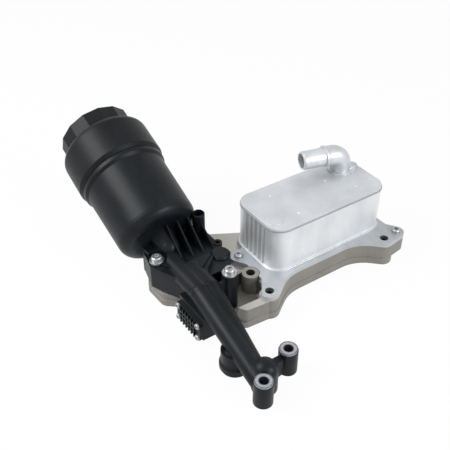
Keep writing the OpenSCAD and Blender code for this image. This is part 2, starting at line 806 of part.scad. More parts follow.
// Ends of the thin web between the right post and the ducts
knuckle_web = from_shell([[-70, -31], [-49, -27]]);

// Where a fan rib at x meets the outside of the cup's floor, as [y, z]
function fan_top(x) =
    let (up = min(fan_reach, sqrt(pow(cup_r - 2, 2) - pow(x - cup_x, 2))))
    [cup_y - cup_foot * cos(tilt) - up * sin(tilt), cup_z - cup_foot * sin(tilt) + up * cos(tilt)];

// The raised deck round the ducts' level runs, which leans out over the foot's front
module shoulder() {
    intersection() {
        translate([0, 0, foot_base]) linear_extrude(cup_z) polygon(rounded(shoulder_corners));
        translate([foot_corners[0].x, 0, 0]) rotate([90, 0, 90]) linear_extrude(cup_r * 2)
            polygon([[shoulder_back, foot_base], [foot_corners[1].y, foot_base],
                     [shoulder_front, foot_h - 3],
                     [shoulder_front, shoulder_h], [shoulder_back, shoulder_h]]);
    }
    translate([0, 0, foot_h - 1]) linear_extrude(shoulder_h - foot_h + 2.5) polygon(gusset);
    boss_web(knuckle_web[0], knuckle_web[1], web_t, base_h + 1, shoulder_h - 2);
}

module fan_ribs() {
    for (i = [0:fan_count - 1])
        translate([fan_x + i * fan_pitch, 0, 0]) rotate([90, 0, 90]) linear_extrude(fan_t)
            let (top = fan_top(fan_x + i * fan_pitch))
            polygon([[fan_toe, foot_h - 1], [cup_y - cup_foot, foot_h - 1],
                     top + 2 * [cos(tilt), sin(tilt)],
                     top, [fan_toe, foot_h + 1]]);
}

module housing_body() {
    translate([0, 0, foot_base]) linear_extrude(foot_h - foot_base) polygon(rounded(foot_corners));
    on_filter_axis() {
        rotate_extrude($fn = 96) polygon(cup_profile());
        translate([0, 0, -cup_foot - neck_l]) {
            cylinder(r1 = neck_low_r, r2 = neck_top_r, h = neck_l + 1);
            sphere(neck_low_r + ball_proud);
        }
    }
    translate([cup_x, drop_y, foot_base]) cylinder(r = neck_low_r, h = drop_z - foot_base);
    on_duct_a(-duct_start) duct(duct_a_end_r, duct_a_r, duct_a_l + duct_start);
    on_duct_b(0) duct(duct_b_end_r, duct_b_r, duct_b_l);
    on_duct_a(duct_a_l) level_run(duct_a_turn, duct_a_r, run_a_l);
    on_duct_b(duct_b_l) level_run(duct_b_turn, duct_b_r, run_b_l) sphere(duct_b_r);
    fan_ribs();
    shoulder();
    translate([post_right.x, post_right.y, pocket_floor]) cylinder(r = post_r, h = post_h - pocket_floor);
    translate([post_right.x - web_t, post_right.y, foot_base]) cube([2 * web_t, 16, foot_h - foot_base]);
    translate([post_rear.x, post_rear.y, foot_base]) {
        cylinder(r = post_rear_r, h = post_rear_h - foot_base - 1.5);
        translate([0, 0, post_rear_h - foot_base - 1.5])
            cylinder(r1 = post_rear_r, r2 = post_rear_r - 1.5, h = 1.5);
    }
    translate([round_boss.x, round_boss.y, foot_base]) {
        cylinder(r = round_boss_r, h = foot_h - foot_base + 1);
        translate([0, 0, foot_h - foot_base + 1]) cylinder(r1 = round_boss_r, r2 = round_boss_r - 2, h = 2);
    }
    translate([eye.x, eye.y, foot_h - eye_depth]) cylinder(r = eye_r + eye_wall, h = eye_depth + 1);
    cover_chamber();
    duct_end();
}

module cover_chamber() {
    translate([chamber_x, chamber_y, chamber_z]) cube([chamber_depth, cover_l, cover_w + 6]);
}

module duct_end() {
    translate([port_end.x, port_end.y, 0]) cylinder(r = port_end_r, h = port_end_z + 2);
    translate([port_end.x, port_end.y, port_end_z + 2]) sphere(port_end_r);
    for (p = [sleeve_1, sleeve_2])
        translate([p.x, p.y, 0]) {
            cylinder(r1 = boss_r - 2, r2 = boss_r, h = 2);
            translate([0, 0, 2]) cylinder(r = boss_r, h = sleeve_h - sleeve_head_t - 2);
        }
    boss_web(port_end, sleeve_2, boss_web_t, 3, sleeve_h - 6);
    boss_web([duct_a_x, port_end.y + 4], sleeve_2, boss_web_t + 3, sleeve_h - 16, sleeve_h - 8);
    translate([duct_a_x, stub_y, 0]) {
        cylinder(r1 = stub_r - 1, r2 = stub_r, h = 2);
        cylinder(r = stub_r, h = port_end_z + 4);
        translate([0, 0, 3]) cylinder(r = stub_r + stub_bead, h = 5);
        translate([0, 0, 8]) cylinder(r1 = stub_r + stub_bead, r2 = stub_r, h = 2);
    }
}

// An upright web between two points
module boss_web(a, b, t, z0, z1) {
    d = b - a;
    translate([a.x, a.y, z0]) rotate([0, 0, atan2(d.y, d.x)])
        translate([0, -t / 2, 0]) cube([norm(d), t, z1 - z0]);
}

foot_roof = 4;
divider_x = shell_l - 62;
divider_t = 3;
web_t = 2;
tool_r = 10.4;
drop_r = 8;
drop_l = 14;
// Where the cup's outlet turns down into the foot
drop_y = cup_y + (cup_floor - drop_l) * cos(tilt);
drop_z = cup_z + (cup_floor - drop_l) * sin(tilt);

// The foot's outline where it lies on the casting, moved inwards by d
module foot_loop(d) {
    intersection() {
        polygon(rounded(inset(foot_corners, d)));
        polygon(casting_outline(-d, false));
    }
}

module housing_hollows() {
    on_filter_axis() {
        translate([0, 0, cup_floor]) cylinder(r = cup_bore_r, h = neck_h);
        translate([0, 0, cup_floor - drop_l]) cylinder(r = drop_r, h = drop_l + 1);
    }
    translate([cup_x, drop_y, foot_base]) cylinder(r = drop_r, h = drop_z - foot_base);
    translate([cup_x, drop_y, drop_z]) sphere(drop_r + ball_proud);
    translate([0, 0, foot_base - eps]) linear_extrude(foot_h - foot_base - foot_roof) difference() {
        foot_loop(foot_wall);
        for (p = posts) translate(p) circle(post_r);
        translate([divider_x, -cup_r]) square([divider_t, 3 * cup_r]);
    }
    on_duct_a(0) cylinder(r = bore_a_r, h = duct_a_l);
    on_duct_a(duct_a_l) level_run(duct_a_turn, bore_a_r, bore_a_l);
    on_duct_b(0) cylinder(r = bore_b_r, h = duct_b_l);
    on_duct_b(duct_b_l) level_run(duct_b_turn, bore_b_r, bore_b_l);
    translate([port_end.x, port_end.y, -eps]) cylinder(r = port_bore_r, h = port_end_z);
    translate([port_end.x, port_end.y, -eps]) cylinder(r = port_seat_r, h = seal_t + eps);
    translate([duct_a_x, stub_y, -eps]) cylinder(r = stub_r - duct_wall, h = port_end_z + 6);
    for (p = [sleeve_1, sleeve_2]) {
        translate([p.x, p.y, -eps]) cylinder(r = sleeve_r + 0.1, h = sleeve_h);
        translate([p.x, p.y, sleeve_h - sleeve_head_t]) cylinder(r = boss_r, h = sleeve_h);
    }
    for (p = posts)
        translate([p.x, p.y, -eps]) cylinder(r = screw_r + screw_gap, h = post_rear_h);
    translate([eye.x, eye.y, foot_h - eye_depth / 2]) cylinder(r = eye_r, h = eye_depth);
    translate([post_rear.x, post_rear.y, rear_seat]) cylinder(r = bolt_head_r + 0.2, h = post_rear_h);
    translate([chamber_x - eps, chamber_y + cover_margin, chamber_z + cover_screw_in])
        cube([chamber_depth - cover_wall, cover_l - 2 * cover_margin, cover_w - 2 * cover_screw_in]);
    for (p = cover_screw_places())
        translate([chamber_x - eps, p.x, p.y]) rotate([0, 90, 0])
            cylinder(r = cover_screw_r, h = cover_screw_l);
}

module filter_housing() {
    color(black) difference() {
        union() {
            difference() {
                housing_body();
                translate([post_left.x, post_left.y, foot_h]) cylinder(r = tool_r, h = cup_z);
            }
            translate([post_left.x, post_left.y, foot_base])
                cylinder(r = post_r, h = post_left_h - foot_base);
        }
        housing_hollows();
    }
}

module housing_gasket() {
    color(rubber) translate([0, 0, seat_h]) difference() {
        linear_extrude(gasket_t) difference() {
            foot_loop(1.5);
            difference() {
                foot_loop(foot_wall - 0.5);
                for (p = [post_left, post_rear]) translate(p) circle(post_r - 0.5);
            }
        }
        for (p = [post_left, post_rear])
            translate([p.x, p.y, -eps]) cylinder(r = screw_r + screw_gap, h = gasket_t + 2 * eps);
    }
}

// A round-headed screw that stands on z = 0, with its washer if it has one
module washer_screw(shank_l, with_washer) {
    seat = with_washer ? washer_t : 0;
    if (with_washer) cylinder(r = washer_r, h = washer_t);
    translate([0, 0, seat]) drive_screw(bolt_head_r, bolt_head_h, screw_r, shank_l + seat);
}

module housing_screws() {
    color(zinc) {
        translate([post_left.x, post_left.y, post_left_h]) washer_screw(post_left_h - post_tip - 1, true);
        translate([post_right.x, post_right.y, post_h]) washer_screw(post_h - post_tip - 1, true);
        translate([post_rear.x, post_rear.y, rear_seat]) washer_screw(rear_seat - post_tip - 1, false);
    }
}

module bolt_sleeves() {
    color(zinc) for (p = [sleeve_1, sleeve_2])
        translate([p.x, p.y, 0]) difference() {
            union() {
                cylinder(r = sleeve_r, h = sleeve_h);
                translate([0, 0, sleeve_h - sleeve_head_t]) cylinder(r = sleeve_head_r, h = sleeve_head_t);
            }
            translate([0, 0, -eps]) cylinder(r = sleeve_hole_r, h = sleeve_h + 2 * eps);
        }
}

module port_seal() {
    color(rubber) translate([port_end.x, port_end.y, 0])
        ring(port_bore_r + 0.3, port_seat_r - 0.1, seal_t);
}

// Side cover

cover_seal_t = 0.8;
cover_screw_in = 3.4;
cover_rib_t = 1.4;
cover_screw_l = 10;
cover_head_r = 3;
cover_head_h = 2.4;
cover_cross_count = 3;
cover_margin = 2 * cover_screw_in + 1;
// Places of the cover's screws as [y, z]
function cover_screw_places() =
    [for (y = [cover_screw_in, cover_l - cover_screw_in], z = [cover_screw_in, cover_w - cover_screw_in])
        [chamber_y + y, chamber_z + z]];

// A plate of the cover's size, standing on the chamber's open side
module cover_plate(t, lift) {
    translate([chamber_x - lift, chamber_y + cover_l / 2, chamber_z + cover_w / 2]) rotate([90, 0, -90])
        linear_extrude(t) difference() {
            rounded_rect(cover_l, cover_w, 3.2);
            for (y = [-1, 1], z = [-1, 1])
                translate([y * (cover_l / 2 - cover_screw_in), z * (cover_w / 2 - cover_screw_in)])
                    circle(cover_screw_r + screw_gap);
        }
}

module side_cover() {
    face_x = chamber_x - cover_seal_t - cover_t;
    color(black) {
        cover_plate(cover_t, cover_seal_t);
        for (i = [0:cover_rib_count - 1])
            let (y = cover_margin + i * (cover_l - 2 * cover_margin - cover_rib_t) / (cover_rib_count - 1))
            translate([face_x - cover_rib_h, chamber_y + y, chamber_z + 1])
                cube([cover_rib_h + eps, cover_rib_t, cover_w - 2]);
        for (k = [1:cover_cross_count])
            let (z = k * cover_w / (cover_cross_count + 1) - cover_rib_t / 2)
            translate([face_x - cover_rib_h, chamber_y + cover_margin, chamber_z + z])
                cube([cover_rib_h + eps, cover_l - 2 * cover_margin, cover_rib_t]);
    }
}

module cover_seal() {
    color(rubber) difference() {
        cover_plate(cover_seal_t, 0);
        translate([chamber_x - 2 * cover_seal_t, chamber_y + cover_margin, chamber_z + cover_screw_in])
            cube([3 * cover_seal_t, cover_l - 2 * cover_margin, cover_w - 2 * cover_screw_in]);
    }
}

module cover_screws() {
    color(zinc) for (p = cover_screw_places())
        translate([chamber_x - cover_seal_t - cover_t, p.x, p.y]) rotate([0, -90, 0])
            drive_screw(cover_head_r, cover_head_h, cover_screw_r - thread_gap, cover_screw_l);
}

// Bypass valve

pipe_flange_t = 2;
foot_cap_z = cup_floor + pipe_flange_t + run_gap;
media_z = foot_cap_z + end_cap_t;
cap_ceiling = neck_h + cap_seat_gap;
top_cap_top = cap_ceiling - head_room;
media_top = top_cap_top - end_cap_t;
media_h = media_top - media_z;
pipe_bore_r = pipe_r - pipe_wall;
pipe_top = top_cap_top + pipe_past;
pipe_l = pipe_top - cup_floor;
pipe_rows = 5;
pipe_row_in = 10;
pipe_hole_r = 3.2;
seat_t = 2.4;
poppet_top = pipe_top - seat_t;
retainer_t = 2;
retainer_top = poppet_top - poppet_t - spring_l;
spring_r = 5.4;
pipe_row_gap = (retainer_top - retainer_t - cup_floor - 2 * pipe_row_in) / (pipe_rows - 1);

module stand_pipe() {
    color(black) on_filter_axis() difference() {
        union() {
            translate([0, 0, cup_floor]) cylinder(r = pipe_r, h = pipe_l);
            translate([0, 0, cup_floor]) cylinder(r = pipe_r + 4, h = pipe_flange_t);
        }
        translate([0, 0, cup_floor - eps]) cylinder(r = pipe_bore_r - 1.6, h = pipe_l - seat_t);
        translate([0, 0, retainer_top - retainer_t])
            cylinder(r = pipe_bore_r, h = poppet_top - retainer_top + retainer_t);
        translate([0, 0, poppet_top - eps]) cylinder(r = seat_hole_r, h = seat_t + 2 * eps);
        for (a = [0:60:359], k = [0:pipe_rows - 1])
            rotate([0, 0, a]) translate([pipe_bore_r - 4, 0, cup_floor + pipe_row_in + k * pipe_row_gap])
                rotate([0, 90, 0]) cylinder(r = pipe_hole_r, h = pipe_wall + 5);
    }
}

module bypass_poppet() {
    color(black) on_filter_axis() {
        translate([0, 0, poppet_top - poppet_t]) cylinder(r = poppet_r, h = poppet_t);
        translate([0, 0, poppet_top - eps])
            cylinder(r1 = seat_hole_r - 1, r2 = seat_hole_r - 2.4, h = seat_t);
        translate([0, 0, poppet_top - poppet_t - stem_l]) cylinder(r = stem_r, h = stem_l);
    }
}

module bypass_retainer() {
    color(zinc) on_filter_axis() translate([0, 0, retainer_top - retainer_t]) difference() {
        cylinder(r = pipe_bore_r - 0.1, h = retainer_t);
        translate([0, 0, -eps]) cylinder(r = stem_r + run_gap, h = retainer_t + 2 * eps);
        for (a = [30:60:359])
            rotate([0, 0, a]) translate([7.6, 0, -eps]) cylinder(r = 1.9, h = retainer_t + 2 * eps);
    }
}

// The coil of the valve's spring, as rings of points joined into one skin
module bypass_spring() {
    sides = 6;
    steps = 14 * spring_turns;
    rise = spring_l - 2 * wire_r;
    points = [for (i = [0:steps], k = [0:sides - 1])
        let (a = i * 360 * spring_turns / steps, b = k * 360 / sides, r = spring_r + wire_r * cos(b))
        [r * cos(a), r * sin(a), wire_r + i * rise / steps + wire_r * sin(b)]];
    skin = [for (i = [0:steps - 1], k = [0:sides - 1])
        [i * sides + k, i * sides + (k + 1) % sides,
         (i + 1) * sides + (k + 1) % sides, (i + 1) * sides + k]];
    ends = [[for (k = [sides - 1:-1:0]) k], [for (k = [0:sides - 1]) steps * sides + k]];
    color(zinc) on_filter_axis() translate([0, 0, retainer_top]) polyhedron(points, concat(skin, ends));
}

// Filter element

end_cap_r = media_r + 1;
clip_r = 19;
seal_w = 1.6;
cage_rows = 5;
cage_hole_r = 4;

// The folded paper seen along the filter's axis
function pleat_side(dr) = [for (i = [0:2 * pleat_count - 1])
    let (a = i * 180 / pleat_count, r = i % 2 == 0 ? media_r : media_r - pleat_depth)
    (r + dr) * [cos(a), sin(a)]];

module filter_media() {
    color(paper) on_filter_axis() translate([0, 0, media_z]) linear_extrude(media_h)
        difference() {
            polygon(pleat_side(0));
            polygon(pleat_side(-paper_t));
        }
}

module element_cage() {
    color(black) on_filter_axis() translate([0, 0, media_z]) difference() {
        ring(cage_r - cage_wall, cage_r, media_h);
        for (k = [0:cage_rows - 1], a = [0:60:359])
            translate([0, 0, 2 * cage_hole_r + k * (media_h - 4 * cage_hole_r) / (cage_rows - 1)])
                rotate([0, 90, a + 30 * (k % 2)]) cylinder(r = cage_hole_r, h = cage_r + 1);
    }
}

module element_top_cap() {
    color(green) on_filter_axis() {
        translate([0, 0, media_top]) ring(pipe_r + run_gap + seal_w, end_cap_r, end_cap_t);
        translate([0, 0, top_cap_top - eps]) ring(clip_r - 2, clip_r, 7);
        translate([0, 0, top_cap_top + 4]) ring(clip_r - 2, clip_r + 0.8, 1.6);
    }
}

module element_foot_cap() {
    color(green) on_filter_axis() translate([0, 0, foot_cap_z]) difference() {
        cylinder(r = end_cap_r, h = end_cap_t);
        translate([0, 0, -eps]) cylinder(r = pipe_r + run_gap + seal_w, h = end_cap_t + 2 * eps);
    }
}

module element_seal() {
    color(rubber) on_filter_axis() for (z = [foot_cap_z, media_top])
        translate([0, 0, z]) ring(pipe_r + run_gap, pipe_r + run_gap + seal_w, end_cap_t);
}

// Screw cap

cap_edge = collar_h + cap_gap;
cap_top = cap_ceiling + cap_top_t;
cap_bore_r = neck_r + run_gap;
plug_r = cup_bore_r - run_gap;
plug_l = 13;
o_ring_r = 1.3;
o_ring_mid = plug_r + 0.1 - o_ring_r;
groove_z = cap_ceiling - plug_l + 3;
hub_r = clip_r + 3.4;

function cap_profile() = concat(
    [[cap_bore_r, cap_edge], [cap_r - 2.6, cap_edge], [cap_r, cap_edge + cap_bevel]],
    arc([cap_r - cap_shoulder_r, cap_top - cap_shoulder_r], cap_shoulder_r, 0, 90, 8),
    [[0, cap_top], [0, cap_ceiling], [cap_bore_r, cap_ceiling]]);

function wrench_outline() = [for (i = [0:flat_count - 1])
    on_circle([0, 0], wrench_flats / 2 / cos(180 / flat_count), (i + 0.5) * 360 / flat_count)];

wrench_floor = 3;
wrench_hub_r = 9;
wrench_rib_t = 2.4;

module wrench_collar() {
    bore = wrench_flats / 2 - wrench_wall;
    difference() {
        linear_extrude(wrench_h) polygon(wrench_outline());
        translate([0, 0, wrench_floor]) cylinder(r = bore, h = wrench_h);
    }
    translate([0, 0, wrench_floor - 2]) {
        cylinder(r = wrench_hub_r, h = wrench_h - 5);
        for (i = [0:cap_rib_count - 1]) rotate([0, 0, i * 360 / cap_rib_count])
            translate([0, -wrench_rib_t / 2, 0]) cube([bore + 1, wrench_rib_t, wrench_h - 7]);
    }
}

module filter_cap() {
    color(black) on_filter_axis() difference() {
        union() {
            rotate_extrude($fn = 96) polygon(cap_profile());
            translate([0, 0, cap_top - 1]) wrench_collar();
            translate([0, 0, cap_ceiling - plug_l]) ring(plug_r - 4, plug_r, plug_l + 1);
            translate([0, 0, top_cap_top + 0.4]) ring(clip_r + 1.2, hub_r, cap_ceiling - top_cap_top);
        }
        translate([0, 0, groove_z]) ring(o_ring_mid - o_ring_r, plug_r + 1, 2 * o_ring_r + 0.2);
    }
}

module cap_o_ring() {
    color(rubber) on_filter_axis() translate([0, 0, groove_z + 0.1 + o_ring_r])
        rotate_extrude() translate([o_ring_mid, 0]) circle(o_ring_r, $fn = 24);
}

base_casting();
cooler_flange();
cooler_shell();
cooler_lid();
cooler_elbow();
core_plates();
core_fins();
cooler_seals();
cooler_screws();
filter_housing();
housing_gasket();
housing_screws();
bolt_sleeves();
port_seal();
side_cover();
cover_seal();
cover_screws();
stand_pipe();
bypass_poppet();
bypass_spring();
bypass_retainer();
filter_media();
element_cage();
element_top_cap();
element_foot_cap();
element_seal();
filter_cap();
cap_o_ring();
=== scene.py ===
import json
from math import atan2, cos, pi, radians, sin

import bmesh
import bpy
from mathutils import Matrix, Vector


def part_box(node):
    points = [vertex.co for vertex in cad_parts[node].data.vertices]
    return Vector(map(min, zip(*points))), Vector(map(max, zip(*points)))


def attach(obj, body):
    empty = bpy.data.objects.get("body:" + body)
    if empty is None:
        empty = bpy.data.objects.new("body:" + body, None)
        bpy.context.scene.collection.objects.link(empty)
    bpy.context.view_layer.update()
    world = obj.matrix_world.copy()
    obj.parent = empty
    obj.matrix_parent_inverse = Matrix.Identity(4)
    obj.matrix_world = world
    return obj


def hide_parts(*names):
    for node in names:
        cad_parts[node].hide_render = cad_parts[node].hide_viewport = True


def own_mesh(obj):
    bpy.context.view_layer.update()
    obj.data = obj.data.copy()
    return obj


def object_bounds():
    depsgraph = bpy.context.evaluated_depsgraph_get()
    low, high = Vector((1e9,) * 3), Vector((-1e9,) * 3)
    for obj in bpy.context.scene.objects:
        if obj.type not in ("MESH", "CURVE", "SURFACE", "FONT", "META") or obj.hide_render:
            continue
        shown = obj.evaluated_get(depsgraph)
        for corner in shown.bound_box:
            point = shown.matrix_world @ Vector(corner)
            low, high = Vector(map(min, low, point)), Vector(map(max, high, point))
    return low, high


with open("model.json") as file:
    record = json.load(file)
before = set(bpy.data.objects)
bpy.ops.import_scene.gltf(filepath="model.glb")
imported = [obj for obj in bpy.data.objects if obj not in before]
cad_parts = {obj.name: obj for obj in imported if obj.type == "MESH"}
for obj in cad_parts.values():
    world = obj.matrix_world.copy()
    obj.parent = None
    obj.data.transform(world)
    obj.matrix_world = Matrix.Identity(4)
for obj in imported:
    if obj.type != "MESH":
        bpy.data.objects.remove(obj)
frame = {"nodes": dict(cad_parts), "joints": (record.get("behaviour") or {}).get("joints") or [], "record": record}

cad_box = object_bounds()

# The base casting: the die-cast aluminium carrier that bolts to the engine block and carries the cooler and the
# filter housing. Its outside keeps the dull, grainy skin of the die, and the faces that seal are milled flat. Its
# upward faces are painted lighter and its walls darker as shade, and the walls of its bolt holes are painted dark
# as shade.


def tint(red, green, blue):
    """A colour as it shows on a screen, as the shader wants it."""
    return tuple((c / 255) ** 2.2 for c in (red, green, blue)) + (1.0,)


class Wire:
    """One socket of a node tree, on which sums can be written."""

    def __init__(self, tree, port=None):
        self.tree = tree
        self.port = port

    def node(self, kind, ports, out=0, **settings):
        """Adds a node, changes its settings, sets or links its sockets, and gives one output."""
        made = self.tree.nodes.new(kind)
        for name, value in settings.items():
            setattr(made, name, value)
        for name, value in ports.items():
            if isinstance(value, Wire):
                self.tree.links.new(value.port, made.inputs[name])
            else:
                made.inputs[name].default_value = value
        return Wire(self.tree, made.outputs[out])

    def math(self, operation, *others):
        """One step of arithmetic, with this value as its first number."""
        return self.node("ShaderNodeMath", dict(enumerate((self, *others))), operation=operation)

    def __add__(self, other):
        return self.math("ADD", other)

    def __sub__(self, other):
        return self.math("SUBTRACT", other)

    def __rsub__(self, other):
        return self.math("MULTIPLY_ADD", -1.0, other)

    def __mul__(self, other):
        return self.math("MULTIPLY", other)

    def __gt__(self, other):
        return self.math("GREATER_THAN", other)

    def __lt__(self, other):
        return self.math("LESS_THAN", other)

    __radd__ = __add__
    __rmul__ = __mul__

    def axis(self, number):
        """One coordinate of a place or a direction."""
        return self.node("ShaderNodeSeparateXYZ", {0: self}, out=number)

    def facing(self):
        """The direction that the surface faces."""
        return self.node("ShaderNodeTexCoord", {}, out="Normal")

    def stretched(self, x, y, z):
        """The place with its coordinates scaled, which draws out a pattern that reads it."""
        return self.node("ShaderNodeVectorMath", {0: self, 1: (x, y, z)}, operation="MULTIPLY")

    def noise(self, scale, detail=3.0, rough=0.55):
        """Cloudy noise from 0 to 1; scale is in clouds a metre."""
        return self.node("ShaderNodeTexNoise", {"Vector": self, "Scale": scale, "Detail": detail,
                                                "Roughness": rough})

    def span(self, low, high, to_low=0.0, to_high=1.0):
        """The value moved from one range to another and held inside it."""
        return self.node("ShaderNodeMapRange", {"Value": self, "From Min": low, "From Max": high,
                                                "To Min": to_low, "To Max": to_high})

    def between(self, first, second):
        """A colour that goes from the first to the second as this value goes from 0 to 1."""
        return self.node("ShaderNodeMix", {0: self, 6: first, 7: second}, out=2, data_type="RGBA")

    def feed(self, name):
        """Links the value to a socket of the finish's shader."""
        self.tree.links.new(self.port, self.tree.nodes["Principled BSDF"].inputs[name])


def finish(name, **constants):
    """A new material with its constant sockets set, and the place on the piece that it covers."""
    material = bpy.data.materials.new(name)
    material.use_nodes = True
    tree = material.node_tree
    for socket, value in constants.items():
        tree.nodes["Principled BSDF"].inputs[socket.replace("_", " ")].default_value = value
    return material, Wire(tree).node("ShaderNodeTexCoord", {}, out="Object")


def rounded_edges(place, radius):
    """The surface's normal with every sharp edge softened by a small radius."""
    return place.node("ShaderNodeBevel", {"Radius": radius}, samples=4)


def relief(height, depth, under):
    """Fine relief over a normal; depth is in metres."""
    bump = height.node("ShaderNodeBump", {"Height": height, "Strength": 1.0, "Distance": depth,
                                          "Normal": under})
    bump.feed("Normal")


def mounts_named(start):
    """Where the part's mounts stand whose names start this way."""
    return [mount["pos_m"] for mount in frame["record"]["mounts"] if mount["name"].startswith(start)]


def reach_from(place, centres):
    """How far the surface lies from the nearest of some upright axes, in metres, up to one metre."""
    nearest = 1.0
    for centre in centres:
        x, y = place.axis(0) - centre[0], place.axis(1) - centre[1]
        nearest = (x * x + y * y).math("SQRT").math("MINIMUM", nearest)
    return nearest


def upright(facing):
    """1 on walls and 0 on level faces."""
    return facing.axis(2).math("ABSOLUTE") < 0.5


def hole_walls(place, facing):
    """The walls of the engine bolts' holes, through the flange and the casting."""
    return (reach_from(place, mounts_named("bolt_")) < hole_edge) * upright(facing)


def wear(*names, material):
    """Gives CAD nodes their finish; their own meshes stay as they are."""
    for name in names:
        node = frame["nodes"][name]
        for slot in node.material_slots:
            slot.material = material
        if not node.material_slots:
            node.data.materials.append(material)


hole_edge = 0.0048
deck_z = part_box("cooler_flange")[0].z
seat_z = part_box("housing_gasket")[0].z
level_play = 0.0005
raised_from = 0.0015

casting, spot = finish("cast_skin", Metallic=0.55)
facing = spot.facing()
skin = spot.noise(900.0, detail=4.0, rough=0.6)
cloud = spot.noise(38.0)
pits = spot.noise(210.0, detail=2.0, rough=0.5)
level = spot.axis(2)
up = facing.axis(2)
on_deck = level > deck_z - level_play
on_seat = (level > seat_z - level_play) * (level < seat_z + level_play)
milled = (up > 0.98) * on_deck.math("MAXIMUM", on_seat)
# Painted light: upward faces are painted lighter and walls darker, as light and shade would fall on them.
lit_top_skin = cloud.span(0.35, 0.68).between(tint(156, 154, 148), tint(178, 176, 170))
shaded_wall_share = up.math("ABSOLUTE").span(0.3, 0.9, 0.75, 0.0)
skin_and_painted_shade = shaded_wall_share.between(lit_top_skin, tint(134, 131, 124))
grainy = (skin.span(0.35, 0.7) * 0.3).between(skin_and_painted_shade, tint(96, 93, 87))
cut_metal = (level > deck_z + raised_from).between(tint(184, 182, 175), tint(146, 144, 138))
outside = milled.between(grainy, cut_metal)
# Painted shade: the walls of the bolt holes are painted nearly black.
(hole_walls(spot, facing) * 0.85).between(outside, tint(40, 39, 37)).feed("Base Color")
(0.5 + 0.14 * skin - 0.22 * milled).feed("Roughness")
relief(skin * 0.6 + pits * 0.8 - milled * 0.4 * skin, 0.00035, rounded_edges(spot, 0.0006))
wear("base_casting", material=casting)

# The cooler flange: a thick stamped aluminium plate brazed under the cooler. It came out of the furnace with a
# soft satin face, and its sheared rim shows faint upright drag marks. The walls of its bolt holes are painted
# darker as shade.
plate, spot = finish("stamped_plate", Metallic=0.6)
facing = spot.facing()
haze = spot.noise(55.0)
fleck = spot.noise(1400.0, detail=2.0)
drag = upright(facing) * spot.stretched(1.0, 1.0, 0.06).noise(1500.0, detail=2.0)
satin = haze.span(0.3, 0.7).between(tint(172, 176, 181), tint(190, 194, 198))
# Painted shade: the walls of the bolt holes are painted dark grey.
(hole_walls(spot, facing) * 0.6).between(satin, tint(60, 61, 62)).feed("Base Color")
(0.42 + 0.12 * fleck + 0.1 * drag).feed("Roughness")
relief(fleck * 0.35 + drag * 0.6, 0.0001, rounded_edges(spot, 0.0005))
wear("cooler_flange", material=plate)

# The cooler core: eight pressed aluminium oil cells with folded fin sheets between them, brazed
# into one block. The braze leaves them silver with slightly brown stains.
core, spot = finish("brazed_core", Metallic=0.8)
stain = spot.noise(120.0, detail=4.0)
stain.span(0.4, 0.75).between(tint(205, 207, 208), tint(176, 166, 150)).feed("Base Color")
(0.3 + 0.3 * stain).feed("Roughness")
relief(spot.noise(800.0), 0.00012, rounded_edges(spot, 0.0003))
wear("core_plates", "core_fins", material=core)

# The cooler shell: the deep-drawn aluminium box round the core. Drawing pulled the metal upright through the die
# and left faint streaks. On the two short ends the strips between the flutes are painted darker as shade, and a
# dark seam runs round under the lid.
shell_low, shell_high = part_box("cooler_shell")
flute_count = 5
flute_pitch = 0.007
seam_below = 0.0009
seam_above = 0.0001

drawn, spot = finish("drawn_shell", Metallic=0.6)
streaks = spot.stretched(1.0, 1.0, 0.03).noise(700.0)
haze = spot.stretched(1.0, 1.0, 0.6).noise(30.0)
fleck = spot.noise(1600.0, detail=2.0)
across = spot.axis(1)
fluted = across.math("ABSOLUTE") < flute_count * flute_pitch / 2
end_wall = (spot.facing().axis(0).math("ABSOLUTE") > 0.35) * fluted
in_pitches = across * (1 / flute_pitch) + 0.5
from_flute = (in_pitches.math("FRACT") - 0.5).math("ABSOLUTE")
# Painted shade: the strips between the flutes on the ends are painted darker.
painted_shade_strip = end_wall * (1.0 - from_flute.span(0.1, 0.3, 1.0, 0.0))
level = spot.axis(2)
seam = (level > shell_high.z - seam_below) * (level < shell_high.z + seam_above)
sheet = (0.2 * streaks + 0.8 * haze).span(0.34, 0.66)
bright_sheet = sheet.between(tint(211, 213, 216), tint(230, 232, 234))
# The dark seam under the lid and the painted shade between the flutes share one grey.
seam_and_painted_shade = (seam * 0.9).math("MAXIMUM", painted_shade_strip * 0.6)
seam_and_painted_shade.between(bright_sheet, tint(150, 155, 160)).feed("Base Color")
(0.38 + 0.1 * streaks + 0.1 * fleck).feed("Roughness")
relief(streaks * 0.3 + fleck * 0.4, 0.00008, rounded_edges(spot, 0.0005))
wear("cooler_shell", material=drawn)

# The cooler lid: stamped from the same sheet, with four dimples and a low raised disc, and brazed
# over the shell's rim. It has a soft rolled grain along the cooler.
stamped, spot = finish("stamped_lid", Metallic=0.6)
rolled = spot.stretched(0.05, 1.0, 1.0).noise(900.0, detail=2.0)
haze = spot.noise(26.0, detail=4.0)
fleck = spot.noise(1500.0, detail=2.0)
sheet = (0.2 * rolled + 0.8 * haze).span(0.36, 0.66)
sheet.between(tint(195, 198, 202), tint(215, 218, 221)).feed("Base Color")
(0.4 + 0.16 * fleck + 0.06 * rolled).feed("Roughness")
relief(fleck * 0.5 + rolled * 0.3, 0.0001, rounded_edges(spot, 0.0005))
wear("cooler_lid", material=stamped)

# The braze fillet: where the shell stands on the flange, the braze ran out into a small hollow
# fillet all round its foot bead. It is a little duller and more grey than the sheet beside it.
fillet_reach = 0.0011
fillet_wall = 0.00015
fillet_steps = ((0.0006, 0.0002), (0.0006, 0.0008))
shell_corner = 0.016
lid_low, lid_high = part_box("cooler_lid")
bead_out = shell_high.y - lid_high.y


